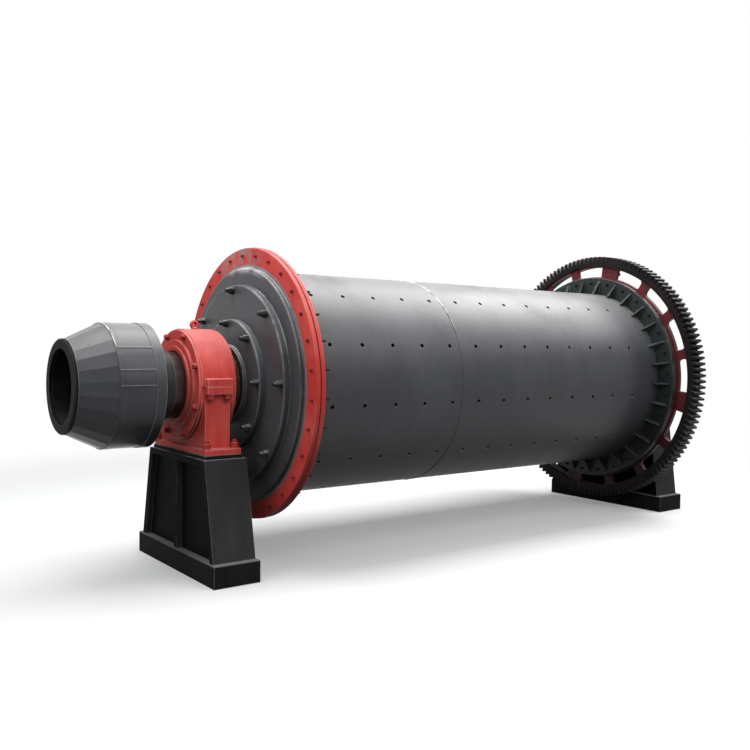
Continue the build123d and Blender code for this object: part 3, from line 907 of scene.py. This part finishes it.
girth_weld(
    "feeder_mouth_weld", cone_low.x, mouth_radius, thin_weld_radius, thin_weld_height,
    feeder_enamel,
)
bpy.ops.object.select_all(action="DESELECT")
bpy.ops.mesh.primitive_cube_add(size=1)
seam = bpy.context.object
bpy.ops.transform.resize(value=(band_low.x - feeder_low.x, seam_width, seam_height))
bpy.ops.object.transform_apply()
bpy.ops.object.mode_set(mode="EDIT")
bpy.ops.mesh.bevel(offset=seam_edge, segments=2)
bpy.ops.object.mode_set(mode="OBJECT")
seam_places = [on_shell((feeder_low.x + band_low.x) / 2, feeder_radius, angle) for angle in seam_angles]
set_out(seam, "feeder_drum_seams", seam_places, feeder_enamel, "drum")

# Studio floor and surround, which aren't part of the mill.
# A pale floor takes the shadow near the mill and fades to plain white further out, as the surround is.
# The camera and reflections see that white, while the mill gets only a dim light back from either.
floor_width = 18
fade_start = 3.2
fade_end = 7
floor_pale = "#cbcbcb"
floor_bounce = "#595959"
sky_light = "#f8fcff"
pure_white = "#ffffff"
bpy.ops.object.select_all(action="DESELECT")
bpy.ops.mesh.primitive_plane_add(size=floor_width)
floor = bpy.context.object
floor.name = "studio_floor"


def seen_directly(tree):
    """A mask for what the camera sees, by itself, in gloss or through glass."""
    rays = add_node(tree, "ShaderNodeLightPath").outputs
    seen = add_node(
        tree, "ShaderNodeMath", {0: rays["Is Camera Ray"], 1: rays["Is Glossy Ray"]}, operation="MAXIMUM"
    )
    return add_node(tree, "ShaderNodeMath", {0: seen, 1: rays["Is Transmission Ray"]}, operation="MAXIMUM")


floor_material, tree, place = new_tree("white_studio_floor")
distance = add_node(tree, "ShaderNodeVectorMath", {0: place}, operation="LENGTH")
far = add_node(
    tree, "ShaderNodeMapRange", {"Value": distance, "From Min": fade_start, "From Max": fade_end},
    interpolation_type="SMOOTHSTEP",
)
pale = add_node(tree, "ShaderNodeBsdfDiffuse", {"Color": linear(floor_pale)})
glow = add_node(tree, "ShaderNodeEmission", {"Color": linear(pure_white), "Strength": 0.2})
lit = add_node(tree, "ShaderNodeAddShader", {0: pale, 1: glow})
white = add_node(tree, "ShaderNodeEmission", {"Color": linear(pure_white), "Strength": 1})
faded_out = add_node(tree, "ShaderNodeMixShader", {0: far, 1: lit, 2: white})
bounce = add_node(tree, "ShaderNodeBsdfDiffuse", {"Color": linear(floor_bounce)})
chosen = add_node(tree, "ShaderNodeMixShader", {0: seen_directly(tree), 1: bounce, 2: faded_out})
add_node(tree, "ShaderNodeOutputMaterial", {"Surface": chosen})
floor.data.materials.append(floor_material)

world = bpy.data.worlds.new("studio_world")
bpy.context.scene.world = world
world.use_nodes = True
tree = world.node_tree
tree.nodes.clear()
sky = add_node(tree, "ShaderNodeBackground", {"Color": linear(sky_light), "Strength": 0.5})
white = add_node(tree, "ShaderNodeBackground", {"Color": linear(pure_white), "Strength": 1})
chosen = add_node(tree, "ShaderNodeMixShader", {0: seen_directly(tree), 1: sky, 2: white})
add_node(tree, "ShaderNodeOutputWorld", {"Surface": chosen})

# Studio lamps and camera.
# Broad soft boxes stand for an open sky above the mill, with two more that light its ends.
# The camera stands at eye height beside the feed end, where the perspective of the photograph puts it.
mill_middle = (0.2, 0, axis_z)
feed_head_middle = (feed_joint_x, 0, axis_z)
gear_upper_part = (1.5, -0.3, 1.6)


def soft_light(name, location, target, width, height, power):
    """A soft box turned towards a point."""
    lamp = bpy.data.lights.new(name, "AREA")
    lamp.shape = "RECTANGLE"
    lamp.size = width
    lamp.size_y = height
    lamp.energy = power
    holder = bpy.data.objects.new(name, lamp)
    bpy.context.scene.collection.objects.link(holder)
    holder.location = location
    holder.rotation_euler = (Vector(target) - Vector(location)).to_track_quat("-Z", "Y").to_euler()


soft_light("sky_panel", (0.2, 0.3, 4.9), mill_middle, width=8, height=3, power=400)
soft_light("near_sky_panel", (0.2, -4.6, 4.4), mill_middle, width=9, height=3, power=176)
soft_light("feed_end_panel", (-4.6, -0.2, 4.4), feed_head_middle, width=2, height=2, power=45)
soft_light("gear_end_panel", (5.4, -0.5, 5.4), gear_upper_part, width=4.5, height=3.5, power=220)

camera_lens = 40.68
camera_film = 36
camera_yaw = radians(36.6359)
camera_pitch = radians(1.958)
camera_roll = radians(0.6169)
camera_place = (feed_joint_x - 2.7801, -5.1988, 1.4724)
camera = bpy.data.objects.new("photo_camera", bpy.data.cameras.new("photo_camera"))
bpy.context.scene.collection.objects.link(camera)
camera.data.lens = camera_lens
camera.data.sensor_width = camera_film
camera.matrix_world = (
    Matrix.Translation(camera_place)
    @ Matrix.Rotation(-camera_yaw, 4, "Z")
    @ Matrix.Rotation(pi / 2 - camera_pitch, 4, "X")
    @ Matrix.Rotation(camera_roll, 4, "Z")
)
bpy.context.scene.camera = camera

bpy.context.scene.view_settings.view_transform = "Standard"
